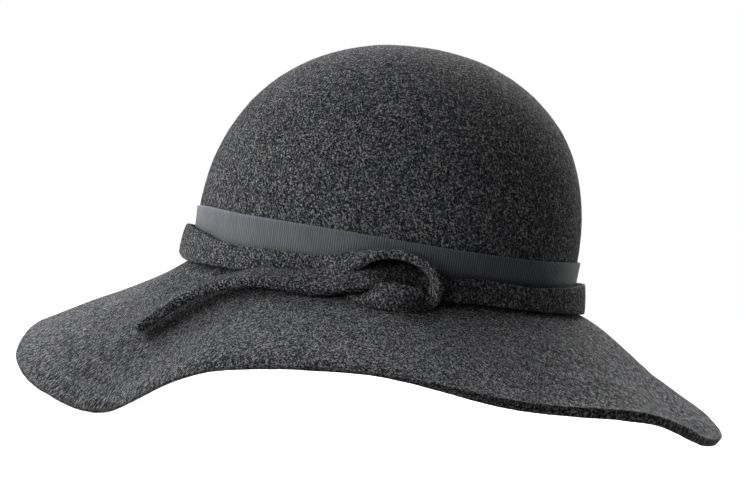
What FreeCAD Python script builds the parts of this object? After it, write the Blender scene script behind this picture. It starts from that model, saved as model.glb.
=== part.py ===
import FreeCAD, Part

import math
import os

from FreeCAD import Placement, Rotation, Vector

# Round-crown felt hat with a wide waved brim, a grosgrain ribbon round the crown
# and a felt strap tied once over the ribbon.
# Frame: millimetres, +Z up, origin at the centre of the head opening in the plane
# where crown and brim meet. +X is the back of the hat, -X the front and -Y the
# side that carries the knot.

os.makedirs("parts", exist_ok=True)
doc = FreeCAD.newDocument("felt_hat")

# --- driving dimensions -------------------------------------------------------

DIMENSIONS = {
    "crown_half_length": 101.5,
    "crown_half_width": 87.0,
    "crown_wall_rise": 27.0,
    "crown_dome_rise": 101.0,
    "crown_dome_power": 2.2,
    "crown_apex_back": 4.5,
    "crown_felt": 3.0,
    "collar_rise": 12.0,
    "collar_felt": 1.5,
    "brim_felt": 4.2,
    "brim_under_break": 2.5,
    "ribbon_width": 25.0,
    "ribbon_cloth": 0.8,
    "ribbon_ease": 0.05,
    "ribbon_lap": 22.0,
    "strap_width": 17.0,
    "strap_felt": 4.8,
    "strap_slack": 1.4,
    "strap_lift": 0.3,
    "knot_back": 3.0,
    "knot_half_length": 26.0,
    "knot_half_height": 12.0,
    "knot_mid_height": 10.5,
    "knot_depth": 15.0,
    "knot_eye_half_length": 17.0,
    "knot_eye_half_height": 4.5,
    "tail_felt": 4.5,
    "tail_width": 17.0,
    "sweat_width": 25.0,
    "sweat_cloth": 0.8,
    "sweat_gap": 0.5,
    "sweat_hang": 1.0,
    "label_length": 30.0,
    "label_height": 16.0,
    "label_cloth": 0.4,
    "label_low": 5.0,
    "thread_radius": 0.22,
    "stitch_length": 4.0,
    "stitch_pitch": 8.0,
}

# Brim edge at sixteen clock positions, starting at the back (+X) and going round over
# the far side (+Y), the front and the near side: its drop below the break, and its
# distance from the break down the slope.
EDGE_DROPS = (50, 43, 44, 40, 37, 48, 62, 46.5, 61, 72.5, 73, 41.5, 31.5, 39, 39, 51)
EDGE_REACHES = (102, 104, 104, 104, 104, 104, 104, 105, 106, 107, 107.5, 105, 104, 104, 103.5, 102)

sheet = doc.addObject("Spreadsheet::Sheet", "Sizes")
for row, (alias, value) in enumerate(DIMENSIONS.items(), start=1):
    sheet.set("A%d" % row, alias)
    sheet.set("B%d" % row, str(value))
    sheet.setAlias("B%d" % row, alias)
row = len(DIMENSIONS)
for stem, values in (("edge_drop", EDGE_DROPS), ("edge_reach", EDGE_REACHES)):
    for clock, value in enumerate(values):
        row += 1
        alias = "%s_%d" % (stem, clock)
        sheet.set("A%d" % row, alias)
        sheet.set("B%d" % row, str(value))
        sheet.setAlias("B%d" % row, alias)
doc.recompute()


def size(alias):
    return float(getattr(sheet, alias))


def finish(obj, label):
    obj.Label = label
    obj.Placement = Placement(obj.Placement)
    return obj


def feature(label, shape):
    obj = doc.addObject("Part::Feature", label)
    obj.Shape = shape
    obj.Placement = Placement(Vector(0, 0, 0), Rotation())
    obj.Label = label
    return obj


# --- parametric helpers -------------------------------------------------------

def oval_column(name, grow, low, rise):
    """Upright oval column whose half-axes are the crown's plus the length grow."""
    oval = doc.addObject("Part::Ellipse", name + "_oval")
    oval.setExpression("MajorRadius", "Sizes.crown_half_length + (%s)" % grow)
    oval.setExpression("MinorRadius", "Sizes.crown_half_width + (%s)" % grow)
    oval.setExpression("Placement.Base.z", low)
    column = doc.addObject("Part::Extrusion", name)
    column.Base = oval
    column.DirMode = "Custom"
    column.Dir = Vector(0, 0, 1)
    column.Solid = True
    column.setExpression("LengthFwd", rise)
    return column


def oval_ring(name, outer, inner, low, rise):
    """Upright oval ring between two growths of the crown's oval."""
    ring = doc.addObject("Part::Cut", name)
    ring.Base = oval_column(name + "_outer", outer, low, rise)
    ring.Tool = oval_column(name + "_inner", inner, low, rise)
    return ring


def block(name, lengths, corner):
    box = doc.addObject("Part::Box", name)
    for side, length in zip(("Length", "Width", "Height"), lengths):
        box.setExpression(side, length)
    for axis, value in zip("xyz", corner):
        box.setExpression("Placement.Base." + axis, value)
    return box


def oval_point(grow, clock_angle, height):
    """Point on the crown's oval, grown by a length, at an angle in radians."""
    return Vector(
        (size("crown_half_length") + grow) * math.cos(clock_angle),
        (size("crown_half_width") + grow) * math.sin(clock_angle),
        height,
    )


def oval_outward(grow, clock_angle):
    """Level unit vector square to the grown oval."""
    across = math.cos(clock_angle) / (size("crown_half_length") + grow)
    along = math.sin(clock_angle) / (size("crown_half_width") + grow)
    return Vector(across, along, 0).normalize()


ROUND_STATIONS = [2 * math.pi * k / 48 for k in range(48)]


def closed_curve(points):
    """Smooth closed wire whose parameter runs evenly round the clock positions."""
    stations = [2 * math.pi * k / len(points) for k in range(len(points) + 1)]
    curve = Part.BSplineCurve()
    curve.interpolate(Points=points, PeriodicFlag=True, Parameters=stations)
    return Part.Wire([curve.toShape()])


# --- crown --------------------------------------------------------------------

def oval_wire(grow, height, scale=1.0, back=0.0):
    """Closed oval wire, optionally shrunk and moved towards the back."""
    centre = Vector(back, 0, height)
    points = [oval_point(grow, angle, 0) * scale + centre for angle in ROUND_STATIONS]
    return closed_curve(points)


def dome(inset):
    """Solid bounded by the crown surface moved inward by inset."""
    wall = size("crown_wall_rise")
    rise = size("crown_dome_rise") - inset
    power = size("crown_dome_power")
    wires = []
    for degrees in (0, 12, 24, 36, 48, 60, 70, 78, 84, 87):
        turn = math.radians(degrees)
        reach = math.cos(turn) ** (2 / power)
        climb = math.sin(turn) ** (2 / power)
        back = size("crown_apex_back") * climb
        wires.append(oval_wire(-inset, wall + rise * climb, reach, back))
    cap = Part.makeLoft(wires, True, False)
    foot = Part.makeLoft([oval_wire(-inset, 0), oval_wire(-inset, wall)], True, True)
    return foot.fuse(cap)


crown = feature("crown", dome(0).cut(dome(size("crown_felt"))))


# --- brim ---------------------------------------------------------------------

def edge_value(stem, clock_angle):
    """Drop or reach of the brim edge at any angle, joined smoothly through its clock values."""
    count = len(EDGE_DROPS)
    position = clock_angle / (2 * math.pi) * count
    before = int(math.floor(position))
    share = position - before
    v0, v1, v2, v3 = [size("%s_%d" % (stem, (before + k) % count)) for k in (-1, 0, 1, 2)]
    return v1 + 0.5 * share * (
        v2 - v0 + share * (2 * v0 - 5 * v1 + 4 * v2 - v3 + share * (3 * (v1 - v2) + v3 - v0))
    )


def brim_point(clock_angle, from_edge, lift):
    """Point on the brim: from_edge runs up the slope from the edge, lift is square to it."""
    reach = edge_value("edge_reach", clock_angle)
    drop = edge_value("edge_drop", clock_angle)
    level = math.sqrt(reach ** 2 - drop ** 2)
    along = reach - from_edge
    outward = oval_outward(0, clock_angle)
    start = oval_point(0, clock_angle, 0)
    run = (along * level + lift * drop) / reach
    fall = (-along * drop + lift * level) / reach
    return start + outward * run + Vector(0, 0, fall)


def brim_wire_at(from_edge, lift):
    return closed_curve([brim_point(angle, from_edge, lift) for angle in ROUND_STATIONS])


def brim_solid():
    collar_out = -size("crown_felt")
    collar_in = collar_out - size("collar_felt")
    half = 0.5 * size("brim_felt")
    wires = [
        oval_wire(collar_out, size("collar_rise")),
        oval_wire(collar_out, 0),
        oval_wire(0, 0),
    ]
    for quarter in (90, 45, 0, -45, -90):
        turn = math.radians(quarter)
        from_edge = half - half * math.cos(turn)
        wires.append(brim_wire_at(from_edge, half * math.sin(turn) - half))
    wires.append(oval_wire(collar_in, -size("brim_under_break")))
    wires.append(oval_wire(collar_in, size("collar_rise")))
    faces = []
    for wire, following in zip(wires, wires[1:] + wires[:1]):
        faces.append(Part.makeRuledSurface(wire.Edges[0], following.Edges[0]))
    shell = Part.Shell(faces)
    shell.sewShape()
    solid = Part.Solid(shell)
    if solid.Volume < 0:
        solid.reverse()
    return solid


brim = feature("brim", brim_solid())


# --- ribbon round the crown ---------------------------------------------------

ribbon_low = "Sizes.crown_wall_rise - Sizes.ribbon_width"
ribbon_out = "Sizes.ribbon_ease + Sizes.ribbon_cloth"
ribbon_ring = oval_ring(
    "ribbon_ring", ribbon_out, "Sizes.ribbon_ease", ribbon_low, "Sizes.ribbon_width")
ribbon_over = oval_ring(
    "ribbon_over", ribbon_out + " + Sizes.ribbon_cloth", ribbon_out,
    ribbon_low, "Sizes.ribbon_width")
lap_window = block(
    "lap_window",
    ("Sizes.ribbon_lap", "20", "Sizes.ribbon_width"),
    ("-0.5 * Sizes.ribbon_lap", "Sizes.crown_half_width - 10", ribbon_low),
)
ribbon_lap = doc.addObject("Part::Common", "ribbon_lap")
ribbon_lap.Base = ribbon_over
ribbon_lap.Tool = lap_window
ribbon = doc.addObject("Part::Fuse", "ribbon_band")
ribbon.Base = ribbon_ring
ribbon.Tool = ribbon_lap
finish(ribbon, "ribbon_band")


# --- sweatband and label ------------------------------------------------------

sweat_out = "-(Sizes.crown_felt + Sizes.collar_felt + Sizes.sweat_gap)"
sweat_in = sweat_out + " - Sizes.sweat_cloth"
sweatband = oval_ring(
    "sweatband", sweat_out, sweat_in, "-Sizes.sweat_hang", "Sizes.sweat_width")
finish(sweatband, "sweatband")

label_ring = oval_ring(
    "label_ring", sweat_in, sweat_in + " - Sizes.label_cloth",
    "Sizes.label_low", "Sizes.label_height")
label_window = block(
    "label_window",
    ("40", "Sizes.label_length", "Sizes.label_height"),
    ("Sizes.crown_half_length - 40", "-0.5 * Sizes.label_length", "Sizes.label_low"),
)
label_tab = doc.addObject("Part::Common", "label_tab")
label_tab.Base = label_ring
label_tab.Tool = label_window
finish(label_tab, "label_tab")


# --- strap tied over the ribbon -----------------------------------------------

strap_in = "Sizes.ribbon_cloth + Sizes.strap_slack"
strap_out = strap_in + " + Sizes.strap_felt"
strap_ring = oval_ring(
    "strap_ring", strap_out, strap_in, "Sizes.strap_lift", "Sizes.strap_width")


def knot_disc(name, half_length, half_height):
    """Oval disc standing in front of the crown, square to the near side."""
    oval = doc.addObject("Part::Ellipse", name + "_oval")
    oval.setExpression("MajorRadius", half_length)
    oval.setExpression("MinorRadius", half_height)
    oval.Placement = Placement(Vector(0, 0, 0), Rotation(Vector(1, 0, 0), 90))
    oval.setExpression(
        "Placement.Base.y",
        "-(Sizes.crown_half_width + %s) + 0.5 * Sizes.strap_felt" % strap_out)
    oval.setExpression("Placement.Base.x", "Sizes.knot_back")
    oval.setExpression("Placement.Base.z", "Sizes.knot_mid_height")
    disc = doc.addObject("Part::Extrusion", name)
    disc.Base = oval
    disc.DirMode = "Custom"
    disc.Dir = Vector(0, -1, 0)
    disc.Solid = True
    disc.setExpression("LengthFwd", "Sizes.knot_depth")
    return disc


knot_loop = doc.addObject("Part::Cut", "knot_loop")
knot_loop.Base = knot_disc("knot_disc", "Sizes.knot_half_length", "Sizes.knot_half_height")
knot_loop.Tool = knot_disc(
    "knot_eye", "Sizes.knot_eye_half_length", "Sizes.knot_eye_half_height")
strap = doc.addObject("Part::Fuse", "strap")
strap.Base = strap_ring
strap.Tool = knot_loop
finish(strap, "strap")


# --- loose tail of the strap, running from the knot down over the brim ---------

# Front upper edge of the tail at its stations, and the lean of its face from level
# in degrees: it leaves the knot leaning and twists flat towards its tip.
TAIL_STATIONS = (
    (-30, -107.8, -3.6, 42),
    (-41, -105.6, -2.9, 31),
    (-53, -102.2, -2.0, 22),
    (-66, -97.2, -3.2, 17),
    (-78, -92.6, -7.3, 13),
    (-91, -88.4, -13.8, 10),
    (-115.5, -88, -34.4, 9),
)


def tail_solid():
    edge = [Vector(*station[:3]) for station in TAIL_STATIONS]
    wires = []
    for k, corner in enumerate(edge):
        ahead = edge[min(k + 1, len(edge) - 1)] - edge[max(k - 1, 0)]
        level = Vector(ahead.y, -ahead.x, 0).normalize()
        upward = ahead.cross(level).normalize()
        if upward.z < 0:
            upward = -upward
        lean = math.radians(TAIL_STATIONS[k][3])
        across = (level * math.cos(lean) + upward * math.sin(lean)) * size("tail_width")
        under = (level * math.sin(lean) - upward * math.cos(lean)) * size("tail_felt")
        wires.append(Part.makePolygon([
            corner, corner + across, corner + across + under, corner + under, corner]))
    return Part.makeLoft(wires, True, False)


tail = feature("strap_tail", tail_solid())


# --- stitches -----------------------------------------------------------------

def stitch(middle, direction, length):
    start = middle - direction * (0.5 * length)
    return Part.makeCylinder(size("thread_radius"), length, start, direction)


def stitch_round(grow, height):
    """Even running stitches lying on an oval that is grown from the crown's."""
    half_length = size("crown_half_length") + grow
    half_width = size("crown_half_width") + grow
    girth = 2 * math.pi * math.sqrt(0.5 * (half_length ** 2 + half_width ** 2))
    count = int(girth / size("stitch_pitch"))
    run = []
    for k in range(count):
        angle = 2 * math.pi * (k + 0.5) / count
        along = oval_outward(grow, angle).cross(Vector(0, 0, 1))
        run.append(stitch(oval_point(grow, angle, height), along, size("stitch_length")))
    return Part.makeCompound(run)


collar_face = -(size("crown_felt") + size("collar_felt"))
headline = feature(
    "headline_stitches",
    stitch_round(collar_face - size("thread_radius") - 0.02, 8.0))

sweat_face = collar_face - size("sweat_gap") - size("sweat_cloth")
sweat_seam = feature(
    "sweatband_stitches",
    stitch_round(sweat_face - size("thread_radius") - 0.02, 1.5))


def lap_stitches():
    """Upright row of short stitches that closes the end of the ribbon's lap."""
    face = size("ribbon_ease") + 2 * size("ribbon_cloth") + size("thread_radius") + 0.02
    top = size("crown_wall_rise")
    across = 0.5 * size("ribbon_lap") - 2.5
    angle = math.acos(across / (size("crown_half_length") + face))
    low = top - size("ribbon_width") + 18.5
    run = []
    for k in range(3):
        middle = oval_point(face, angle, low + 2.6 * k)
        run.append(stitch(middle, Vector(0, 0, 1), 1.6))
    return Part.makeCompound(run)


ribbon_seam = feature("ribbon_stitches", lap_stitches())


def label_stitches():
    """One upright run of stitches near each short side of the label."""
    face = sweat_face - size("label_cloth") - size("thread_radius") - 0.02
    across = 0.5 * size("label_length") - 1.5
    angle = math.asin(across / (size("crown_half_width") + face))
    run = []
    for side in (-1, 1):
        for k in range(5):
            height = size("label_low") + 1.8 + 3.1 * k
            run.append(stitch(oval_point(face, side * angle, height), Vector(0, 0, 1), 2.0))
    return Part.makeCompound(run)


label_seam = feature("label_stitches", label_stitches())


# --- check and write ----------------------------------------------------------

doc.recompute()
for obj in doc.Objects:
    if "Invalid" in obj.State or "Error" in obj.State:
        raise RuntimeError("%s is %s" % (obj.Label, obj.State))

NODES = (crown, brim, headline, ribbon, ribbon_seam, strap, tail,
         sweatband, sweat_seam, label_tab, label_seam)
for node in NODES:
    shape = node.Shape
    if shape.isNull() or not shape.isValid():
        raise RuntimeError("%s has no valid shape" % node.Label)
    if not shape.Solids or min(solid.Volume for solid in shape.Solids) <= 0:
        raise RuntimeError("%s has an empty or inside-out solid" % node.Label)
    shape.exportStep("parts/%s.step" % node.Label)
    box = shape.BoundBox
    print("%-20s solids %3d  volume %10.1f mm3  x %7.1f..%6.1f  y %7.1f..%6.1f  z %6.1f..%6.1f" % (
        node.Label, len(shape.Solids), shape.Volume, box.XMin, box.XMax,
        box.YMin, box.YMax, box.ZMin, box.ZMax))
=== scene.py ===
import math

import bpy
import numpy as np
from mathutils import Matrix, Vector, noise


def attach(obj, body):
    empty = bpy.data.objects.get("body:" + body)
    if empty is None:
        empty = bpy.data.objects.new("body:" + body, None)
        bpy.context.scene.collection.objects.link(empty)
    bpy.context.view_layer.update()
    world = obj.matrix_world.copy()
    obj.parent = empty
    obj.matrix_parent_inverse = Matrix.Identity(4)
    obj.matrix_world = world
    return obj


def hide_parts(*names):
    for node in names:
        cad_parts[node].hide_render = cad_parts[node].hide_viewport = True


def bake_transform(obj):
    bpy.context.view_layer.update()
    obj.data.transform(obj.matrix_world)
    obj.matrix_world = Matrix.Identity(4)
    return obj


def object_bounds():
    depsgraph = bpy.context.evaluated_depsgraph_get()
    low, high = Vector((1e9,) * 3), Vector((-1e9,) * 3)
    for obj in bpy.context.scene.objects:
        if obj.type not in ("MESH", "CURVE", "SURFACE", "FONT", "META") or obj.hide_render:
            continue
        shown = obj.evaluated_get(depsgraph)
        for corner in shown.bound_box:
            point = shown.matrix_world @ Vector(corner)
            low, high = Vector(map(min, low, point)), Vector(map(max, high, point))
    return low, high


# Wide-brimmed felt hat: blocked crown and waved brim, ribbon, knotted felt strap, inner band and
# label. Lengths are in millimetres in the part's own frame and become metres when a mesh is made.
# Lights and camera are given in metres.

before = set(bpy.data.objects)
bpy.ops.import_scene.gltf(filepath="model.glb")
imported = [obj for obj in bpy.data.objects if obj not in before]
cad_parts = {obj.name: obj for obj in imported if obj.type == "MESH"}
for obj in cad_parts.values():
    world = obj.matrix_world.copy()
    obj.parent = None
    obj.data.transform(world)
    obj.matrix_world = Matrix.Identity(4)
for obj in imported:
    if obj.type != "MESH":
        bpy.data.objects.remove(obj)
CAD_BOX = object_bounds()
MM = 0.001

# ---------------------------------------------------------------- sizes

# Crown: oval plan at the break with the brim, upright wall, then a dome set slightly back.
HALF_LENGTH, HALF_WIDTH = 101.5, 87.0
WALL_RISE, DOME_RISE, DOME_POWER, APEX_BACK = 27.0, 101.0, 2.2, 4.5
CROWN_FELT, COLLAR_FELT, COLLAR_RISE = 3.0, 1.5, 12.0
BRIM_FELT = 4.2
# Brim values at sixteen clock positions, from the back (+X) round over the far side (+Y): drop and
# slope length of the edge, how far the last stretch rolls over, and how much thinner the rim is.
EDGE_DROPS = (50, 43, 44, 40, 37, 48, 62, 46.5, 61, 72.5, 73, 41.5, 31.5, 39, 39, 51)
EDGE_REACHES = (102, 104, 104, 104, 104, 104, 104, 105, 106, 107, 107.5, 105, 104, 104, 103.5, 102)
RIM_CURLS = (0, 0, 0, 0, 0, 0, 0, 0, 0, 0, 0.5, 1.5, -1.2, 0, -1.5, -1.5)
RIM_THINS = (0, 0, 0, 0, 0, 0, 0, 0, 0, 0.4, 1.8, 2.0, 2.3, -1.2, -1.4, -0.8)
RIM_CORNER = 1.1
# How far the brim bellies off its straight slope toward the back and the front, how far out from
# the crown each belly reaches, and the clock angle of the back one.
BACK_SWELL, FRONT_SWELL = 3.6, -1.2
BACK_REACH, FRONT_REACH, SWELL_ANGLE = 60.0, 72.0, 0.3
# How far the ribbon's edges climb at the same clock positions.
RIBBON_RISES = (0, 0, 0, 0, 0, 0, 0, 0.2, 0.6, 1.3, 0.1, -0.3, -1.3, -2.1, -1.9, -0.7)
RIBBON_WIDTH, RIBBON_CLOTH, RIBBON_LAP = 25.0, 0.8, 22.0
RIB_PITCH = 1.2
STRAP_WIDTH, STRAP_FELT, STRAP_GAP = 17.0, 4.8, 2.2
SWEAT_WIDTH, SWEAT_CLOTH, SWEAT_GAP, SWEAT_HANG, SWEAT_LAP = 25.0, 0.8, 0.5, 1.0, 12.0
LABEL_LENGTH, LABEL_HEIGHT, LABEL_CLOTH, LABEL_LOW = 30.0, 16.0, 0.4, 5.0
THREAD = 0.22


# ---------------------------------------------------------------- shape helpers

def unit(v):
    return v / np.linalg.norm(v, axis=-1, keepdims=True)


def oval(grow, angle):
    """Plan point on the crown's oval grown by a length; angle and grow may be arrays."""
    x = (HALF_LENGTH + grow) * np.cos(angle)
    y = (HALF_WIDTH + grow) * np.sin(angle)
    return np.stack(np.broadcast_arrays(x, y), -1)


def oval_out(grow, angle):
    """Unit vector square to the grown oval in plan."""
    x = np.cos(angle) / (HALF_LENGTH + grow)
    y = np.sin(angle) / (HALF_WIDTH + grow)
    return unit(np.stack(np.broadcast_arrays(x, y), -1))


def clock_value(values, angle):
    """Value at any angle, joined smoothly through its values at even clock positions."""
    values = np.array(values, float)
    count = len(values)
    position = (np.asarray(angle) / (2 * np.pi) * count) % count
    before = np.floor(position).astype(int)
    s = position - before
    v0, v1, v2, v3 = (values[(before + k) % count] for k in (-1, 0, 1, 2))
    return v1 + 0.5 * s * (v2 - v0 + s * (2 * v0 - 5 * v1 + 4 * v2 - v3
                                         + s * (3 * (v1 - v2) + v3 - v0)))


def brim_point(angle, along, lift):
    """Point on the brim, along the slope from the break and lifted square to it."""
    drop = clock_value(EDGE_DROPS, angle)
    reach = clock_value(EDGE_REACHES, angle)
    level = np.sqrt(reach ** 2 - drop ** 2)
    plan = oval(0, angle) + oval_out(0, angle) * ((along * level + lift * drop) / reach)[..., None]
    fall = (-along * drop + lift * level) / reach
    return np.concatenate([plan, fall[..., None]], -1)


def bumps(points, wave, seed):
    """Smooth noise from -1 to 1 at each point, with features about one wave long."""
    shift = Vector((seed * 17.3, seed * 5.1, seed * 9.7))
    flat = points.reshape(-1, 3) / wave
    values = [noise.noise(Vector(p) + shift) for p in flat]
    return np.array(values).reshape(points.shape[:-1])


def surface_normals(points):
    """Unit normals of a grid of points (rows, columns) whose columns close on themselves."""
    down = np.gradient(points, axis=0)
    across = (np.roll(points, -1, 1) - np.roll(points, 1, 1)) / 2
    return unit(np.cross(across, down) + 1e-12)


def smooth_path(knots, step):
    """Points at even steps along a smooth curve through the knots, in any dimension.

    The first three columns are the place and set the spacing; the others follow along."""
    knots = np.asarray(knots, float)
    gaps = np.linalg.norm(np.diff(knots[:, :3], axis=0), axis=1)
    at = np.concatenate([[0], np.cumsum(gaps)])
    slope = np.gradient(knots, at, axis=0)
    fine = np.linspace(0, at[-1], 40 * len(knots))
    k = np.clip(np.searchsorted(at, fine, "right") - 1, 0, len(at) - 2)
    gap = (at[k + 1] - at[k])[:, None]
    s = ((fine - at[k])[:, None]) / gap
    curve = ((2 * s ** 3 - 3 * s ** 2 + 1) * knots[k] + (s ** 3 - 2 * s ** 2 + s) * gap * slope[k]
             + (3 * s ** 2 - 2 * s ** 3) * knots[k + 1] + (s ** 3 - s ** 2) * gap * slope[k + 1])
    run = np.linalg.norm(np.diff(curve[:, :3], axis=0), axis=1)
    run = np.concatenate([[0], np.cumsum(run)])
    even = np.linspace(0, run[-1], int(round(run[-1] / step)) + 1)
    return np.stack([np.interp(even, run, curve[:, c]) for c in range(curve.shape[1])], 1)


# ---------------------------------------------------------------- mesh helpers

def enclosed_volume(mesh, points):
    """Volume inside a closed mesh, negative if its faces look inwards."""
    mesh.calc_loop_triangles()
    corners = np.empty(3 * len(mesh.loop_triangles), dtype=np.int32)
    mesh.loop_triangles.foreach_get("vertices", corners)
    a, b, c = points[corners].reshape(-1, 3, 3).transpose(1, 0, 2)
    return np.sum(a * np.cross(b, c)) / 6


def make_piece(name, points, faces, material, body, stands_for, grain=None):
    """Mesh object from millimetre points, with smooth shading, riding on a body."""
    mesh = bpy.data.meshes.new(name)
    mesh.from_pydata((points * MM).tolist(), [], faces)
    mesh.validate()
    if enclosed_volume(mesh, points) < 0:
        mesh.flip_normals()
    if grain is not None:
        layer = mesh.attributes.new("grain", "FLOAT_VECTOR", "POINT")
        layer.data.foreach_set("vector", grain.astype(np.float32).ravel())
    mesh.polygons.foreach_set("use_smooth", [True] * len(mesh.polygons))
    mesh.materials.append(material)
    mesh.update()
    obj = bpy.data.objects.new(name, mesh)
    bpy.context.scene.collection.objects.link(obj)
    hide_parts(stands_for)
    if body:
        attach(obj, body)
    return obj


def grid_faces(rows, cols, wrap_rows=False, wrap_cols=False, first=0):
    """Quads of a grid of rows by cols points, whose numbers start at first."""
    r = np.arange(rows if wrap_rows else rows - 1)
    c = np.arange(cols if wrap_cols else cols - 1)
    r, c = (x.ravel() for x in np.meshgrid(r, c, indexing="ij"))
    r2, c2 = (r + 1) % rows, (c + 1) % cols
    quads = np.stack([r * cols + c, r * cols + c2, r2 * cols + c2, r2 * cols + c], 1)
    return (quads + first).tolist()


def strip_section(width, thick, corner, across, pillow=0.0):
    """Closed outline of a strip's cross-section: (along its width, along its thickness).

    Pillow is how much thinner the strip is beside its edges than at its middle."""
    half_w, half_t = width / 2, thick / 2
    outline = []
    for side in (1, -1):
        for s in np.linspace(-1, 1, across):
            thin = 1 - pillow * abs(s) ** 2.5
            outline.append((side * s * (half_w - corner), side * half_t * thin))
        edge_t = half_t * (1 - pillow)
        for turn in np.radians((60, 30, 0, -30, -60)):
            u = half_w - corner + corner * math.cos(turn)
            t = (edge_t - min(corner, edge_t)) * np.sign(round(turn, 6)) \
                + min(corner, edge_t) * math.sin(turn)
            outline.append((side * u, side * t))
    return np.array(outline)


def sweep_strip(path, tops, section, scale):
    """Points (stations, outline, 3) of a strip along a path.

    Tops point to its upper edge, and scale holds its width and thickness shares."""
    along = unit(np.gradient(path, axis=0))
    tops = unit(tops - (tops * along).sum(1, keepdims=True) * along)
    face = np.cross(along, tops)
    wide = section[None, :, 0] * scale[:, :1]
    deep = section[None, :, 1] * scale[:, 1:]
    return path[:, None] + wide[..., None] * tops[:, None] + deep[..., None] * face[:, None]


def strip_piece(name, grid, grain, material, body, stands_for):
    """Closed strip from its swept grid, with a domed cap on both ends."""
    rows, cols, _ = grid.shape
    faces = grid_faces(rows, cols, wrap_cols=True)
    caps = np.stack([grid[0].mean(0), grid[-1].mean(0)])
    base = rows * cols
    for c in range(cols):
        n = (c + 1) % cols
        faces.append((base, n, c))
        faces.append((base + 1, (rows - 1) * cols + c, (rows - 1) * cols + n))
    points = np.concatenate([grid.reshape(-1, 3), caps])
    marks = np.concatenate([grain.reshape(-1, 3), grain[0].mean(0)[None], grain[-1].mean(0)[None]])
    return make_piece(name, points, faces, material, body, stands_for, marks)


# ---------------------------------------------------------------- materials

class Net:
    """Short way to write a material's node tree."""

    def __init__(self, name):
        self.material = bpy.data.materials.new(name)
        self.material.use_nodes = True
        self.tree = self.material.node_tree
        self.tree.nodes.clear()
        self.shader = self.add("BsdfPrincipled")
        out = self.add("OutputMaterial")
        self.tree.links.new(self.shader.outputs["BSDF"], out.inputs["Surface"])

    def add(self, kind, settings=None, **inputs):
        node = self.tree.nodes.new("ShaderNode" + kind)
        for key, value in (settings or {}).items():
            setattr(node, key, value)
        self.feed(node, **inputs)
        return node

    def feed(self, node, **inputs):
        for key, value in inputs.items():
            socket = node.inputs[int(key[1:])] if key[0] == "_" else node.inputs[key.replace("_", " ")]
            if isinstance(value, bpy.types.NodeSocket):
                self.tree.links.new(value, socket)
            else:
                socket.default_value = value

    def math(self, operation, a, b=0.0):
        node = self.add("Math", {"operation": operation}, _0=a, _1=b)
        return node.outputs[0]

    def ramp(self, value, low, high, out_low=0.0, out_high=1.0):
        node = self.add("MapRange", {"clamp": True}, Value=value)
        self.feed(node, From_Min=low, From_Max=high, To_Min=out_low, To_Max=out_high)
        return node.outputs[0]

    def blend(self, share, a, b):
        node = self.add("Mix", {"data_type": "RGBA"})
        self.feed(node, _0=share, _6=a, _7=b)
        return node.outputs[2]

    def noise(self, vector, detail=1.0, rough=0.5, scale=1.0):
        node = self.add("TexNoise", Vector=vector, Scale=scale, Detail=detail, Roughness=rough)
        return node.outputs["Fac"]

    def stretched(self, vector, turn, size, shift=(0, 0, 0)):
        """Coordinates turned, then divided by a feature size along each turned axis."""
        node = self.add("Mapping", {"vector_type": "TEXTURE"}, Vector=vector)
        self.feed(node, Location=shift, Rotation=[math.radians(a) for a in turn], Scale=size)
        return node.outputs[0]

    def place_mm(self):
        coords = self.add("TexCoord").outputs["Object"]
        node = self.add("VectorMath", {"operation": "SCALE"}, Vector=coords, Scale=1000.0)
        return node.outputs[0]

    def bump(self, height, depth_mm, strength=1.0):
        node = self.add("Bump", Height=height, Distance=depth_mm * MM, Strength=strength)
        self.feed(self.shader, Normal=node.outputs[0])


def grey(level):
    return (level, level, level * 1.03, 1.0)


# ---- felt: each fibre layer is a noise stretched along the fibre, sizes in mm.

# Turns, in degrees, that spread fibre directions over the sphere.
FIBRE_TURNS = ((0, 0, 0), (0, 0, 62), (0, 58, 0), (0, -50, 118), (35, 70, 40), (20, -35, 28))
# Slants of the brushed fibres either side of straight outwards, as a slope.
NAP_SLANTS = (-0.75, -0.35, 0.0, 0.3, 0.7)
NAP_RADIUS = 140.0
FIBRE_LENGTH, NAP_LENGTH = 3.0, 2.4
# Distance from the crown over which brushed fibres take over from loose ones.
NAP_FROM, NAP_FULL = 5.0, 60.0
# Distance toward the back (+X) over which the nap gathers into tufts.
TUFT_FROM, TUFT_FULL, TUFT_SIZE = 60.0, 130.0, (2.4, 2.6, 1.5)


def loose_fibres(net, place, seed):
    """Fibres lying every way: the strongest of six stretched noises."""
    strongest = 0.0
    for k, turn in enumerate(FIBRE_TURNS):
        across = 0.70 + 0.08 * (k % 3)
        shift = (7.3 * k + seed, 3.1 * k + 0.4 * seed, 5.7 * k)
        vector = net.stretched(place, turn, (FIBRE_LENGTH, across, across), shift)
        strongest = net.math("MAXIMUM", strongest, net.noise(vector))
    return strongest


def tufts(net, place, seed):
    """Coarser clumps in the nap, growing toward the back of the brim."""
    strongest = 0.0
    for k, turn in enumerate(FIBRE_TURNS[:3]):
        vector = net.stretched(place, (0, 0, turn[2] * 0.5), TUFT_SIZE, (seed, 9.0 * k, 4.0))
        strongest = net.math("MAXIMUM", strongest, net.noise(vector))
    x = net.add("SeparateXYZ", Vector=place).outputs[0]
    return net.math("MULTIPLY", strongest, net.ramp(x, TUFT_FROM, TUFT_FULL, 0.0, 0.5))


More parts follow.
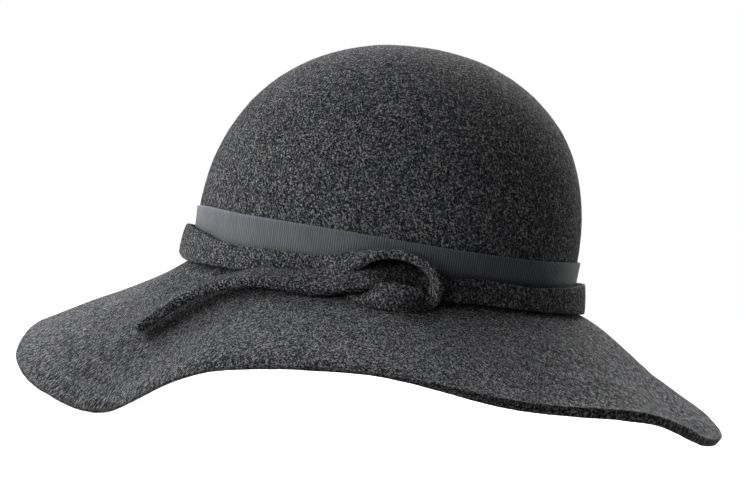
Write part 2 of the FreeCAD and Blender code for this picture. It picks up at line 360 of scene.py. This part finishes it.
def brushed_fibres(net, place, seed):
    """Fibres brushed outwards over the brim, among loose ones beside the crown.

    The brim's grain is its clock position on a circle, then the distance out from the crown."""
    grain = net.add("Attribute", {"attribute_name": "grain"}).outputs["Vector"]
    outwards = net.add("SeparateXYZ", Vector=grain).outputs[2]
    strongest = 0.0
    for k, slant in enumerate(NAP_SLANTS):
        angle = net.math("MULTIPLY", outwards, slant / NAP_RADIUS)
        turned = net.add("VectorRotate", {"rotation_type": "Z_AXIS"}, Vector=grain, Angle=angle)
        across = 0.66 + 0.10 * (k % 2)
        vector = net.stretched(turned.outputs[0], (0, 0, 0), (across, across, NAP_LENGTH),
                               (0.0, 0.0, 17.0 * k + seed))
        strongest = net.math("MAXIMUM", strongest, net.noise(vector))
    brushed = net.math("SUBTRACT", strongest, net.ramp(outwards, NAP_FROM, NAP_FULL, 0.10, 0.02))
    loose = loose_fibres(net, place, seed)
    loose = net.math("SUBTRACT", loose, net.ramp(outwards, NAP_FROM, NAP_FULL, 0.02, 0.07))
    return net.math("ADD", net.math("MAXIMUM", brushed, loose), tufts(net, place, seed))


def stray_hairs(net, place):
    """Few long pale hairs that stand out of the melange."""
    strongest = 0.0
    for k, turn in enumerate(FIBRE_TURNS[:4]):
        vector = net.stretched(place, (turn[0] + 25, turn[1] + 40, turn[2] + 15),
                               (6.5, 0.5, 0.5), (31.0 * k, 5.0, 13.0 * k))
        strongest = net.math("MAXIMUM", strongest, net.noise(vector, detail=0.0))
    return net.ramp(strongest, 0.77, 0.85, 0.0, 1.3)


def painted_crease_shade(net, reach_mm, darkest):
    """Painted shade: share of the colour kept where other cloth closes over this one, darkening
    creases and gaps as shade would.
    """
    node = net.add("AmbientOcclusion", {"samples": 6}, Distance=reach_mm * MM)
    return net.ramp(node.outputs["AO"], 0.2, 0.85, darkest, 1.0)


def felt(name, fibres, level, contrast, sheen):
    """Melange wool felt: pale fibres over blue-black ones, with painted shade in its creases.

    Level is the middle grey and contrast the spread about it, on a logarithmic scale."""
    net = Net(name)
    place = net.place_mm()
    fibre = net.math("SUBTRACT", fibres(net, place, 0.0), fibres(net, place, 91.0))
    speck = net.math("SUBTRACT", net.noise(place, detail=2.0, rough=0.7, scale=1.1), 0.5)
    cloud = net.math("SUBTRACT", net.noise(place, detail=3.0, scale=0.09), 0.5)
    power = net.math("MULTIPLY", fibre, contrast)
    power = net.math("ADD", power, net.math("MULTIPLY", speck, 3.0))
    power = net.math("ADD", power, net.math("MULTIPLY", cloud, 0.6))
    power = net.math("ADD", power, stray_hairs(net, place))
    value = net.math("MINIMUM", net.math("POWER", math.e, power), 6.5)
    hue = net.blend(net.ramp(power, -0.6, 1.2), (0.92, 0.98, 1.17, 1.0), (1.02, 1.01, 1.0, 1.0))
    colour = net.add("VectorMath", {"operation": "SCALE"}, Vector=hue)
    # Painted shade: colour darkened down to 0.08 in creases, under the strap and inside the knot.
    shade = painted_crease_shade(net, 12.0, 0.08)
    net.feed(colour, Scale=net.math("MULTIPLY", net.math("MULTIPLY", value, shade), level))
    net.feed(net.shader, Base_Color=colour.outputs[0], Roughness=0.95, Specular_IOR_Level=0.1,
             Sheen_Weight=net.math("MULTIPLY", value, sheen), Sheen_Roughness=0.5,
             Sheen_Tint=(0.75, 0.76, 0.8, 1.0))
    net.bump(net.math("ADD", fibre, net.math("MULTIPLY", speck, 0.6)), 1.2, 0.7)
    return net.material


def grosgrain(name, level, tint, sheen):
    """Ribbed ribbon: fine warp threads over the cross ribs, with a painted highlight along both
    selvedges and painted shade in its creases.
    """
    net = Net(name)
    grain = net.add("Attribute", {"attribute_name": "grain"}).outputs["Vector"]
    parts = net.add("SeparateXYZ", Vector=grain)
    rib = net.math("SINE", net.math("MULTIPLY", parts.outputs[0], 2 * math.pi / RIB_PITCH))
    warp = net.math("SINE", net.math("MULTIPLY", parts.outputs[1], 2 * math.pi / 0.33))
    slub = net.noise(net.stretched(grain, (0, 0, 0), (0.9, 14.0, 1.0)), detail=2.0)
    fleck = net.noise(net.stretched(grain, (0, 0, 0), (0.5, 0.5, 1.0)), detail=2.0)
    value = net.ramp(rib, -1.0, 1.0, 0.2, 1.6)
    value = net.math("MULTIPLY", value, net.ramp(slub, 0.3, 0.7, 0.8, 1.2))
    value = net.math("MULTIPLY", value, net.ramp(fleck, 0.3, 0.7, 0.92, 1.08))
    value = net.math("MULTIPLY", value, net.ramp(warp, -1.0, 1.0, 0.95, 1.04))
    # Painted highlight: both selvedges made up to 1.7 times paler.
    edge = net.ramp(parts.outputs[2], 0.9, 1.0, 1.0, 1.7)
    # Painted shade where the strap and knot close over the ribbon.
    value = net.math("MULTIPLY", value, net.math("MULTIPLY", edge, painted_crease_shade(net, 9.0, 0.1)))
    scaled = net.add("VectorMath", {"operation": "SCALE"}, Vector=(level, level * 1.07, level * tint))
    net.feed(scaled, Scale=value)
    net.feed(net.shader, Base_Color=scaled.outputs[0], Roughness=0.55, Specular_IOR_Level=0.45,
             Sheen_Weight=sheen, Sheen_Roughness=0.35, Sheen_Tint=(0.8, 0.85, 0.95, 1.0))
    height = net.math("ADD", rib, net.math("MULTIPLY", warp, 0.25))
    net.bump(height, 0.10, 0.6)
    return net.material


def thread(name, level):
    """Twisted sewing thread: fine slanting plies."""
    net = Net(name)
    place = net.place_mm()
    wave = net.noise(net.stretched(place, (0, 0, 35), (0.12, 0.6, 0.12)), detail=1.0)
    colour = net.blend(net.ramp(wave, 0.35, 0.65), grey(level * 0.6), grey(level * 1.5))
    net.feed(net.shader, Base_Color=colour, Roughness=0.6, Specular_IOR_Level=0.3,
             Sheen_Weight=0.2)
    net.bump(wave, 0.05)
    return net.material


def tape(name):
    """Blank woven label tape: plain weave, off-white with a darker woven edge."""
    net = Net(name)
    grain = net.add("Attribute", {"attribute_name": "grain"}).outputs["Vector"]
    parts = net.add("SeparateXYZ", Vector=grain)
    warp = net.math("SINE", net.math("MULTIPLY", parts.outputs[0], 2 * math.pi / 0.28))
    weft = net.math("SINE", net.math("MULTIPLY", parts.outputs[1], 2 * math.pi / 0.34))
    cross = net.math("MULTIPLY", warp, weft)
    mottle = net.noise(net.stretched(grain, (0, 0, 0), (3.0, 3.0, 1.0)), detail=3.0)
    colour = net.blend(net.ramp(cross, -1.0, 1.0), (0.42, 0.42, 0.40, 1.0), (0.62, 0.61, 0.58, 1.0))
    colour = net.blend(net.ramp(mottle, 0.3, 0.8, 0.0, 0.25), colour, (0.36, 0.35, 0.33, 1.0))
    colour = net.blend(net.ramp(parts.outputs[2], 0.90, 0.96), colour, (0.10, 0.10, 0.11, 1.0))
    net.feed(net.shader, Base_Color=colour, Roughness=0.8, Specular_IOR_Level=0.2,
             Sheen_Weight=0.15)
    net.bump(cross, 0.06, 0.7)
    return net.material


FELT = felt("felt_melange", loose_fibres, level=0.036, contrast=13.0, sheen=0.02)
BRIM_CLOTH = felt("felt_brushed", brushed_fibres, level=0.0232, contrast=18.0, sheen=0.09)
RIBBON = grosgrain("grosgrain_slate", 0.070, 1.20, 0.17)
SWEAT = grosgrain("grosgrain_black", 0.022, 1.06, 0.10)
THREAD_DARK = thread("thread_charcoal", 0.05)
THREAD_LABEL = thread("thread_grey", 0.16)
TAPE = tape("label_tape")


# ---------------------------------------------------------------- crown

def dome_ring(inset, turn, angle):
    """One level ring of the crown's surface; turn runs from 0 at the wall to a right angle."""
    reach = math.cos(turn) ** (2 / DOME_POWER)
    climb = math.sin(turn) ** (2 / DOME_POWER)
    plan = oval(-inset, angle) * reach
    plan[:, 0] += APEX_BACK * climb
    height = np.full(len(angle), WALL_RISE + (DOME_RISE - inset) * climb)
    return np.concatenate([plan, height[:, None]], 1)


def wall_ring(inset, height, angle):
    """One level ring of the crown's wall, inside the outer oval by the inset."""
    return np.concatenate([oval(-inset, angle), np.full((len(angle), 1), height)], 1)


def build_crown():
    """Crown as one closed shell: rings from the apex down inside, round the foot and up outside."""
    angle = np.linspace(0, 2 * np.pi, 420, endpoint=False)
    rings = [dome_ring(CROWN_FELT, t, angle) for t in np.radians(np.linspace(89.3, 0, 52))]
    rings += [wall_ring(CROWN_FELT, z, angle) for z in np.linspace(24, 1.2, 9)]
    for inset, height in ((2.9, 0.4), (2.5, 0.08), (1.5, 0.0), (0.5, 0.08), (0.1, 0.4)):
        rings.append(wall_ring(inset, height, angle))
    rings += [wall_ring(0, z, angle) for z in np.linspace(1.2, 25, 15)]
    rings += [dome_ring(0, t, angle) for t in np.radians(np.linspace(0, 89.4, 104))]
    grid = np.array(rings)
    out = surface_normals(grid)
    relief = (0.45 * bumps(grid, 48, 1) + 0.22 * bumps(grid, 17, 2) + 0.10 * bumps(grid, 5, 3)
              + 0.09 * bumps(grid, 2.1, 4))
    free = np.clip((grid[..., 2] - 24) / 8, 0.25, 1)
    grid = grid + out * (relief * free)[..., None]
    rows, cols, _ = grid.shape
    faces = grid_faces(rows, cols, wrap_cols=True)
    first, last = rows * cols, rows * cols + 1
    for c in range(cols):
        n = (c + 1) % cols
        faces.append((first, n, c))
        faces.append((last, (rows - 1) * cols + c, (rows - 1) * cols + n))
    points = np.concatenate([grid.reshape(-1, 3), grid[0].mean(0)[None], grid[-1].mean(0)[None]])
    return make_piece("crown_felt", points, faces, FELT, "hat", "crown")


build_crown()


# ---------------------------------------------------------------- brim

def brim_swell(angle, along):
    """How far the brim bellies up off its straight slope, beside the crown and at its rim."""
    toward_back = np.cos(angle - SWELL_ANGLE)
    back = BACK_SWELL * np.maximum(toward_back, 0) ** 2
    back = back * np.sin(np.pi * np.clip(along / BACK_REACH, 0, 1) ** 0.6)
    front = FRONT_SWELL * np.maximum(-toward_back, 0) ** 2
    front = front * np.sin(np.pi * np.clip(along / FRONT_REACH, 0, 1))
    from_rim = np.maximum(clock_value(EDGE_REACHES, angle) - along, 0)
    curl = clock_value(RIM_CURLS, angle) * (1 - np.exp(-from_rim / 8))
    return back + front + curl * np.exp(-(from_rim / 42) ** 2)


def rim_lifts():
    """Heights of the cut edge's rings and how far out each stands from where the edge rounds off."""
    lifts, outs = [], []
    for degrees in (65, 40, 15, 0, 0, 0, -15, -40, -65):
        turn = math.radians(degrees)
        if degrees > 0:
            lifts.append(-RIM_CORNER + RIM_CORNER * math.sin(turn))
        elif degrees < 0:
            lifts.append(RIM_CORNER - BRIM_FELT + RIM_CORNER * math.sin(turn))
        else:
            lifts.append(lifts[-1] - (BRIM_FELT - 1.5 * RIM_CORNER) / 4)
        outs.append(RIM_CORNER * math.cos(turn))
    return lifts, outs


def build_brim():
    """Brim as one closed shell: collar, upper face out, cut edge, lower face back, collar."""
    angle = np.linspace(0, 2 * np.pi, 640, endpoint=False)
    outer, inner = CROWN_FELT, CROWN_FELT + COLLAR_FELT
    rings = [wall_ring(outer, z, angle) for z in (COLLAR_RISE, 8, 4, 0.6)]
    rings += [wall_ring(outer - 0.6, 0.0, angle), wall_ring(0.6, 0.0, angle)]
    flat_edge = clock_value(EDGE_REACHES, angle) - RIM_CORNER
    thin = clock_value(RIM_THINS, angle)
    for share in np.linspace(0, 1, 90) ** 0.8:
        along = 1.2 + (flat_edge - 1.2) * share
        sunk = thin * np.exp(-(flat_edge - along) / 5)
        rings.append(brim_point(angle, along, brim_swell(angle, along) - sunk))
    lifts = [0.0] * len(rings)
    for lift, out in zip(*rim_lifts()):
        rings.append(brim_point(angle, flat_edge + out, lift * (1 - thin / BRIM_FELT) - thin))
        lifts.append(lift)
    for share in np.linspace(1, 0, 50):
        along = 5 + (flat_edge - 5) * share
        rings.append(brim_point(angle, along, brim_swell(angle, along) - BRIM_FELT))
    rings += [wall_ring(inner, z, angle) for z in (1.5, 4, 8, COLLAR_RISE - 0.6)]
    rings.append(wall_ring(inner - 0.4, COLLAR_RISE, angle))
    lifts += [-BRIM_FELT] * (len(rings) - len(lifts))
    grid = np.array(rings)
    out = surface_normals(np.concatenate([grid[-1:], grid, grid[:1]]))[1:-1]
    past_crown = np.hypot(grid[..., 0] / HALF_LENGTH, grid[..., 1] / HALF_WIDTH) - 1
    free = np.clip(past_crown * 3, 0, 1)
    relief = (0.50 * bumps(grid, 42, 5) + 0.25 * bumps(grid, 15, 6) + 0.10 * bumps(grid, 5, 7)
              + 0.10 * bumps(grid, 2.3, 8))
    grid = grid + out * (relief * free)[..., None]
    rows, cols, _ = grid.shape
    faces = grid_faces(rows, cols, wrap_rows=True, wrap_cols=True)
    outwards = np.hypot(*(grid[..., :2] - oval(0, angle)[None]).transpose(2, 0, 1))
    grain = np.zeros_like(grid)
    grain[..., 0] = NAP_RADIUS * np.cos(angle)
    grain[..., 1] = NAP_RADIUS * np.sin(angle)
    grain[..., 2] = outwards - 2.5 * np.array(lifts)[:, None]
    return make_piece("brim_felt", grid.reshape(-1, 3), faces, BRIM_CLOTH, "hat", "brim",
                      grain.reshape(-1, 3))


build_brim()


# ---------------------------------------------------------------- ribbons

def even_angles(grow, start, sweep, step):
    """Clock angles at even distances round the grown oval, with the distance of each."""
    fine = start + np.linspace(0, sweep, 4000)
    place = oval(grow, fine)
    run = np.concatenate([[0], np.cumsum(np.linalg.norm(np.diff(place, axis=0), axis=1))])
    even = np.linspace(0, run[-1], int(run[-1] / step))
    return np.interp(even, run, fine), even


def build_band(name, grow, low, width, cloth, start, lap_mm, stand_off, rise, material, node,
               outward=1):
    """Ribbed ribbon laid once round an oval, its end lapped over its start.

    Stand_off and rise say how far its top edge stands out and how far it climbs."""
    lap = lap_mm / HALF_LENGTH
    angle, run = even_angles(grow, math.radians(start), 2 * np.pi + lap, RIB_PITCH / 4)
    section = strip_section(width, cloth, min(0.32, cloth * 0.4), across=7)
    up = section[:, 0] / (width / 2)
    over = np.clip((angle - angle[0] - 2 * np.pi + 0.035) / 0.03, 0, 1) * (cloth + 0.12)
    rib = np.cos(run * 2 * np.pi / RIB_PITCH)
    flare = stand_off(angle)
    away = (grow + outward * over)[:, None] + flare[:, None] * ((up + 1) / 2)[None] ** 2
    face = section[:, 1] / (cloth / 2)
    away = away + section[None, :, 1] + 0.075 * rib[:, None] * face[None]
    picot = 0.16 * rib[:, None] * (np.abs(up) > 0.985)[None] * np.sign(up)[None]
    height = low + width / 2 + section[None, :, 0] + picot + rise(angle)[:, None]
    plan = oval(grow, angle)[:, None] + oval_out(grow, angle)[:, None] * (away - grow)[..., None]
    points = np.concatenate([plan, height[..., None]], -1)
    grain = np.zeros_like(points)
    grain[..., 0] = run[:, None]
    grain[..., 1] = height - low
    grain[..., 2] = np.abs(up)[None]
    return strip_piece(name, points, grain, material, "hat", node)


def oval_girth(grow):
    """Length round the grown oval, near enough for a cloth's flat size."""
    return 2 * math.pi * math.sqrt(((HALF_LENGTH + grow) ** 2 + (HALF_WIDTH + grow) ** 2) / 2)


def ribbon_stand_off(angle):
    """How far the ribbon's top edge stands off the crown round the clock."""
    return 0.45 + 0.35 * np.cos(2 * angle) + 0.2 * np.sin(5 * angle + 1.0)


ribbon = build_band("ribbon_grosgrain", RIBBON_CLOTH / 2, WALL_RISE - RIBBON_WIDTH, RIBBON_WIDTH,
                    RIBBON_CLOTH, 82, RIBBON_LAP, ribbon_stand_off,
                    lambda angle: clock_value(RIBBON_RISES, angle), RIBBON, "ribbon_band")

sweat_grow = -(CROWN_FELT + COLLAR_FELT + SWEAT_GAP + SWEAT_CLOTH / 2)
sweat = build_band("sweatband_grosgrain", sweat_grow, -SWEAT_HANG, SWEAT_WIDTH, SWEAT_CLOTH,
                   -6, SWEAT_LAP, lambda angle: 0.25 * np.sin(3 * angle) - 0.25,
                   lambda angle: 0.3 * np.sin(5 * angle), SWEAT, "sweatband",
                   outward=-1)


# ---------------------------------------------------------------- strap, knot and tail

# Clock degrees, low edge and high edge of the strap, from in front of the knot round the front of
# the head, the far side and the back of the head to behind the knot.
STRAP_EDGES = ((252, -1.4, 12.4), (236, -1.4, 12.0), (228, -1.4, 11.3), (221, -1.4, 11.5),
               (215, -1.4, 12.2), (210, -1.4, 14.0), (204, -1.4, 15.8), (197, -0.9, 16.5),
               (190, 0.8, 17.2), (180, 1.6, 17.6), (135, 0.2, 16.2), (90, 0.5, 15.5), (45, 1.0, 14.8),
               (0, 0.1, 16.2), (-12, 0.0, 15.5), (-24, -0.2, 14.0), (-45, -0.6, 11.3),
               (-63, -0.8, 12.2))

# Knots of the strap's middle line inside the knot: place, direction of its top edge, width
# share and thickness share. First the short end, which comes back out of the loop as a petal.
PETAL = ((-15, -101.0, -3.4, -0.2, 0.95, 0.3, 0.45, 0.7),
         (-7.5, -105.5, -4.2, -0.1, 0.85, 0.5, 0.6, 0.8),
         (-1.5, -109.8, -3.0, 0.0, 0.5, 0.86, 0.8, 0.95),
         (5.0, -111.0, -2.2, 0.0, 0.38, 0.92, 0.86, 1.0),
         (13.0, -109.8, -2.2, 0.05, 0.1, 0.99, 0.82, 1.0),
         (21.5, -105.0, -0.8, 0.15, -0.1, 0.98, 0.72, 1.0),
         (26.3, -103.4, 6.4, -0.15, 0.97, 0.15, 0.85, 1.0),
         (23.4, -102.2, 12.2, -0.08, 1.0, 0.0, 0.9, 1.0),
         (14.8, -100.0, 17.3, 0.0, 1.0, 0.0, 0.92, 1.0),
         (3.5, -98.5, 18.7, 0.0, 1.0, 0.0, 0.92, 1.0),
         (-8.8, -97.4, 15.5, -0.1, 0.97, 0.2, 0.88, 1.0),
         (-19, -95.6, 9.4, -0.25, 0.6, 0.75, 0.82, 1.05))
# The long end, which passes behind the loop, through it and out to the front.
THROUGH = ((30, -91.8, 5.0, 0.0, 0.08, 1.0, 0.7, 1.1),
           (16, -92.6, 8.0, 0.0, 0.2, 0.98, 0.92, 0.9),
           (6, -96.8, 7.2, 0.0, 0.6, 0.8, 1.0, 0.92),
           (-6.5, -101.6, 6.0, 0.05, 0.74, 0.67, 0.95, 1.0),
           (-14.0, -102.6, 3.6, 0.08, 0.68, 0.73, 0.95, 1.0),
           (-21.0, -102.2, 2.2, 0.1, 0.7, 0.71, 0.98, 0.97))
# Front upper edge of the tail, and the lean of its face from level in degrees.
TAIL_EDGE = ((-30, -107.8, -3.9, 43), (-41, -105.6, -3.0, 31), (-53, -102.2, -2.1, 22),
             (-66, -97.2, -2.9, 20), (-78, -92.6, -6.4, 16), (-91, -88.4, -12.6, 13),
             (-118.5, -88.4, -35.4, 12))
TAIL_FELT = 5.4
# The strip is one length of felt; past this place on the knot's front it is the tail.
SPLIT_X, SPLIT_Y = -24.0, -100.0
# How far the cut at the tail's tip slants across its width, in millimetres.
TIP_SLANT = 3.0


def strap_ring_knots():
    """Knots of the strap's run round the crown, laid over sideways where it is narrowest."""
    rows = []
    table = np.array(STRAP_EDGES, float)[::-1]
    for degrees in np.arange(252, -64, -9.0):
        low = np.interp(degrees, table[:, 0], table[:, 1])
        high = np.interp(degrees, table[:, 0], table[:, 2])
        share = (high - low) / STRAP_WIDTH
        thick = 1 + 0.35 * max(0, 0.9 - share)
        plan = oval(STRAP_GAP + STRAP_FELT / 2, math.radians(degrees))
        lean = 0.1 + 0.25 * (1 - share)
        inward = -oval_out(0, math.radians(degrees)) * lean
        rows.append((*plan, (low + high) / 2, *inward, 1.0, share, thick))
    return rows


def tail_knots():
    """Knots of the tail's middle line, from its front upper edge."""
    edge = np.array([s[:3] for s in TAIL_EDGE], float)
    ahead = np.gradient(edge, axis=0)
    rows = []
    for corner, way, station in zip(edge, ahead, TAIL_EDGE):
        level = unit(np.array([way[1], -way[0], 0.0]))
        upward = unit(np.cross(way, level))
        upward = upward if upward[2] > 0 else -upward
        lean = math.radians(station[3])
        across = level * math.cos(lean) + upward * math.sin(lean)
        under = level * math.sin(lean) - upward * math.cos(lean)
        middle = corner + across * STRAP_WIDTH / 2 + under * TAIL_FELT / 2
        rows.append((*middle, *across, 1.0, TAIL_FELT / STRAP_FELT))
    return rows


def felt_strip(name, knots, body, stands_for, keep, cut=None):
    """Cut felt strip along its knots, with the slight unevenness of hand-cut felt.

    Keep picks the rows of the whole line this strip covers, and cut shapes its end."""
    line = keep(smooth_path(knots, 0.9))
    section = strip_section(STRAP_WIDTH, STRAP_FELT * 1.06, 1.1, across=13, pillow=0.12)
    grid = sweep_strip(line[:, :3], line[:, 3:6], section, line[:, 6:8])
    if cut is not None:
        grid = cut(grid, section)
    out = unit(grid - line[:, None, :3])
    relief = 0.28 * bumps(grid, 9, 11) + 0.16 * bumps(grid, 3.5, 12) + 0.12 * bumps(grid, 1.7, 13)
    grid = grid + out * relief[..., None]
    strip = strip_piece(name, grid, grid * 0.0, FELT, body, stands_for)
    return strip


whole = list(PETAL) + strap_ring_knots() + list(THROUGH) + tail_knots()


def split_at(line):
    """Row where the long end leaves the knot to become the tail."""
    in_tail = np.arange(len(line)) > len(line) * 0.6
    return int(np.argmax(in_tail & (line[:, 0] < SPLIT_X) & (line[:, 1] < SPLIT_Y)))


def cut_tip(grid, section):
    """Slants the cut at the tail's tip."""
    rows = len(grid)
    along = unit(grid[-1].mean(0) - grid[-6].mean(0))
    ramp = np.clip((np.arange(rows) - rows + 12) / 12, 0, 1)
    share = section[:, 0] / STRAP_WIDTH
    return grid + (ramp[:, None] * share[None] * TIP_SLANT)[..., None] * along


felt_strip("strap_felt", whole, "strap_ring", "strap", lambda line: line[:split_at(line) + 2])
tail = felt_strip("tail_felt", whole, None, "strap_tail", lambda line: line[split_at(line):],
                  cut=cut_tip)
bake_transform(tail)


# ---------------------------------------------------------------- stitches

def thread_stitches(name, stitches, radius, material, node):
    """Two-ply stitches that dip into the cloth at both ends.

    Each stitch is (middle, direction, way off the cloth, length)."""
    points, faces = [], []
    sides, stations = 8, 9
    for middle, along, off, length in stitches:
        side = np.cross(along, off)
        for k in range(stations):
            s = 2 * k / (stations - 1) - 1
            centre = middle + along * s * length / 2 - off * radius * 1.5 * s ** 4
            for q in range(sides):
                a = 2 * math.pi * q / sides
                ply = 1 + 0.16 * math.cos(2 * (a - 2.4 * s * length / 2))
                r = radius * ply * (1 - 0.35 * s ** 8)
                points.append(centre + (side * math.cos(a) + off * math.sin(a)) * r)
        base = len(points) - sides * stations
        faces += grid_faces(stations, sides, wrap_cols=True, first=base)
        faces.append(tuple(base + q for q in range(sides))[::-1])
        faces.append(tuple(base + (stations - 1) * sides + q for q in range(sides)))
    return make_piece(name, np.array(points), faces, material, "hat", node)


def round_stitches(grow, height, pitch, length):
    """Running stitches round the inside of an upright oval wall."""
    count = int(oval_girth(grow) / pitch)
    made = []
    for k in range(count):
        angle = 2 * math.pi * (k + 0.5) / count
        out = np.append(oval_out(grow, np.array(angle)), 0.0)
        place = np.append(oval(grow, np.array(angle)), height + 0.25 * math.sin(k * 2.3))
        along = unit(np.cross(np.array([0, 0, 1.0]), out) + np.array([0, 0, 0.05 * math.sin(k * 1.7)]))
        made.append((place, along, -out, length))
    return made


# Faces the inner seams lie on, as growth of the oval.
COLLAR_FACE = -(CROWN_FELT + COLLAR_FELT)
SWEAT_FACE = COLLAR_FACE - SWEAT_GAP - SWEAT_CLOTH
thread_stitches("headline_thread", round_stitches(COLLAR_FACE - THREAD, 8.0, 8.0, 4.0),
                THREAD, THREAD_DARK, "headline_stitches")
thread_stitches("sweatband_thread", round_stitches(SWEAT_FACE - THREAD, 1.5, 8.0, 4.4),
                THREAD * 1.2, THREAD_LABEL, "sweatband_stitches")


def wall_stitch(grow, angle, height, length, inward):
    """One upright stitch on an oval wall."""
    out = np.append(oval_out(grow, np.array(angle)), 0.0)
    place = np.append(oval(grow, np.array(angle)), height)
    return (place, np.array([0.0, 0.0, 1.0]), -out if inward else out, length)


lap_face = 2 * RIBBON_CLOTH + THREAD
lap_angle = math.acos((RIBBON_LAP / 2 - 2.5) / (HALF_LENGTH + lap_face))
thread_stitches("ribbon_thread",
                [wall_stitch(lap_face, lap_angle, 20.5 + 2.6 * k, 1.8, False) for k in range(3)],
                THREAD, THREAD_DARK, "ribbon_stitches")
label_face = SWEAT_FACE - LABEL_CLOTH - THREAD
label_angle = math.asin((LABEL_LENGTH / 2 - 1.5) / (HALF_WIDTH + label_face))
thread_stitches("label_thread",
                [wall_stitch(label_face, side * label_angle, LABEL_LOW + 1.8 + 3.1 * k, 2.2, True)
                 for side in (-1, 1) for k in range(5)],
                THREAD, THREAD_LABEL, "label_stitches")


# ---------------------------------------------------------------- label

def build_label():
    """Blank tab that follows the inside of the sweatband, with a slight belly."""
    reach = math.asin(LABEL_LENGTH / 2 / (HALF_WIDTH + SWEAT_FACE))
    angle = np.linspace(-reach, reach, 61)
    section = strip_section(LABEL_HEIGHT, LABEL_CLOTH, 0.16, across=25)
    up = section[:, 0] / (LABEL_HEIGHT / 2)
    grow = SWEAT_FACE - LABEL_CLOTH / 2
    belly = 0.25 * np.sin(np.pi * (angle + reach) / (2 * reach))[:, None] * (1 - up ** 2)[None]
    away = grow - belly + section[None, :, 1]
    plan = oval(grow, angle)[:, None] + oval_out(grow, angle)[:, None] * (away - grow)[..., None]
    height = LABEL_LOW + LABEL_HEIGHT / 2 + section[None, :, 0] + 0 * angle[:, None]
    points = np.concatenate([plan, height[..., None]], -1)
    grain = np.zeros_like(points)
    grain[..., 0] = (angle * (HALF_WIDTH + grow))[:, None]
    grain[..., 1] = height
    grain[..., 2] = np.abs(up)[None]
    return strip_piece("label_cloth", points, grain, TAPE, "hat", "label_tab")


label = build_label()


# ---------------------------------------------------------------- floor, light and camera

FLOOR_Z, FLOOR_SIDE = CAD_BOX[0].z - 0.0006, 12.0
CAMERA_PLACE, CAMERA_AIM = (0.0, -1.100, 0.033), (-0.0083, 0.0, 0.0230)
CAMERA_LENS, CAMERA_ROLL = 99.7, 8.3
# Square soft lights, all aimed at the middle of the hat: name, place and watts.
LIGHTS = (("side_left", (-1.2, -0.6, 0.15), 18.2),
          ("front_low", (-0.6, -1.25, 0.14), 6.5),
          ("back_right", (0.9, 1.0, 0.12), 8.0),
          ("back_left", (-1.1, 0.6, 0.6), 16.0),
          ("back_top", (0.3, 0.7, 1.1), 17.0),
          ("back_low", (0.1, 1.2, 0.75), 18.0))
LIGHT_AIM, LIGHT_SIDE = (0.0, 0.0, 0.03), 0.8


def white_floor():
    """Floor that is white to look at and grey to light."""
    net = Net("studio_white")
    seen = net.add("LightPath").outputs["Is Camera Ray"]
    net.feed(net.shader, Base_Color=(0.3, 0.3, 0.3, 1.0), Roughness=0.9,
             Emission_Color=(1.0, 1.0, 1.0, 1.0), Emission_Strength=seen)
    return net.material


def build_floor():
    mesh = bpy.data.meshes.new("studio_floor")
    corners = ((-1, -1), (1, -1), (1, 1), (-1, 1))
    mesh.from_pydata([(x * FLOOR_SIDE, y * FLOOR_SIDE, FLOOR_Z) for x, y in corners], [],
                     [(0, 1, 2, 3)])
    mesh.materials.append(white_floor())
    obj = bpy.data.objects.new("studio_floor", mesh)
    bpy.context.scene.collection.objects.link(obj)


def softbox(name, place, watts):
    light = bpy.data.lights.new(name, "AREA")
    light.shape = "RECTANGLE"
    light.size = light.size_y = LIGHT_SIDE
    light.energy = watts
    obj = bpy.data.objects.new(name, light)
    bpy.context.scene.collection.objects.link(obj)
    obj.location = place
    obj.rotation_euler = (Vector(LIGHT_AIM) - Vector(place)).to_track_quat("-Z", "Y").to_euler()


def build_world():
    """White backdrop that adds almost no light of its own."""
    world = bpy.data.worlds.new("studio")
    world.use_nodes = True
    bpy.context.scene.world = world
    tree = world.node_tree
    tree.nodes.clear()
    path = tree.nodes.new("ShaderNodeLightPath")
    seen = tree.nodes.new("ShaderNodeBackground")
    seen.inputs["Color"].default_value = (1.0, 1.0, 1.0, 1.0)
    lit = tree.nodes.new("ShaderNodeBackground")
    lit.inputs["Color"].default_value = (1.0, 1.0, 1.0, 1.0)
    lit.inputs["Strength"].default_value = 0.02
    mix = tree.nodes.new("ShaderNodeMixShader")
    out = tree.nodes.new("ShaderNodeOutputWorld")
    tree.links.new(path.outputs["Is Camera Ray"], mix.inputs[0])
    tree.links.new(lit.outputs[0], mix.inputs[1])
    tree.links.new(seen.outputs[0], mix.inputs[2])
    tree.links.new(mix.outputs[0], out.inputs["Surface"])


def build_camera():
    data = bpy.data.cameras.new("camera")
    data.lens, data.sensor_width = CAMERA_LENS, 36.0
    data.clip_start, data.clip_end = 0.05, 50.0
    obj = bpy.data.objects.new("camera", data)
    bpy.context.scene.collection.objects.link(obj)
    place = Vector(CAMERA_PLACE)
    aim = (Vector(CAMERA_AIM) - place).to_track_quat("-Z", "Y").to_matrix()
    roll = Matrix.Rotation(math.radians(CAMERA_ROLL), 3, "Z")
    obj.matrix_world = Matrix.Translation(place) @ (aim @ roll).to_4x4()
    bpy.context.scene.camera = obj


build_floor()
build_world()
for light_name, light_place, light_watts in LIGHTS:
    softbox(light_name, light_place, light_watts)
build_camera()
bpy.context.scene.view_settings.view_transform = "Standard"
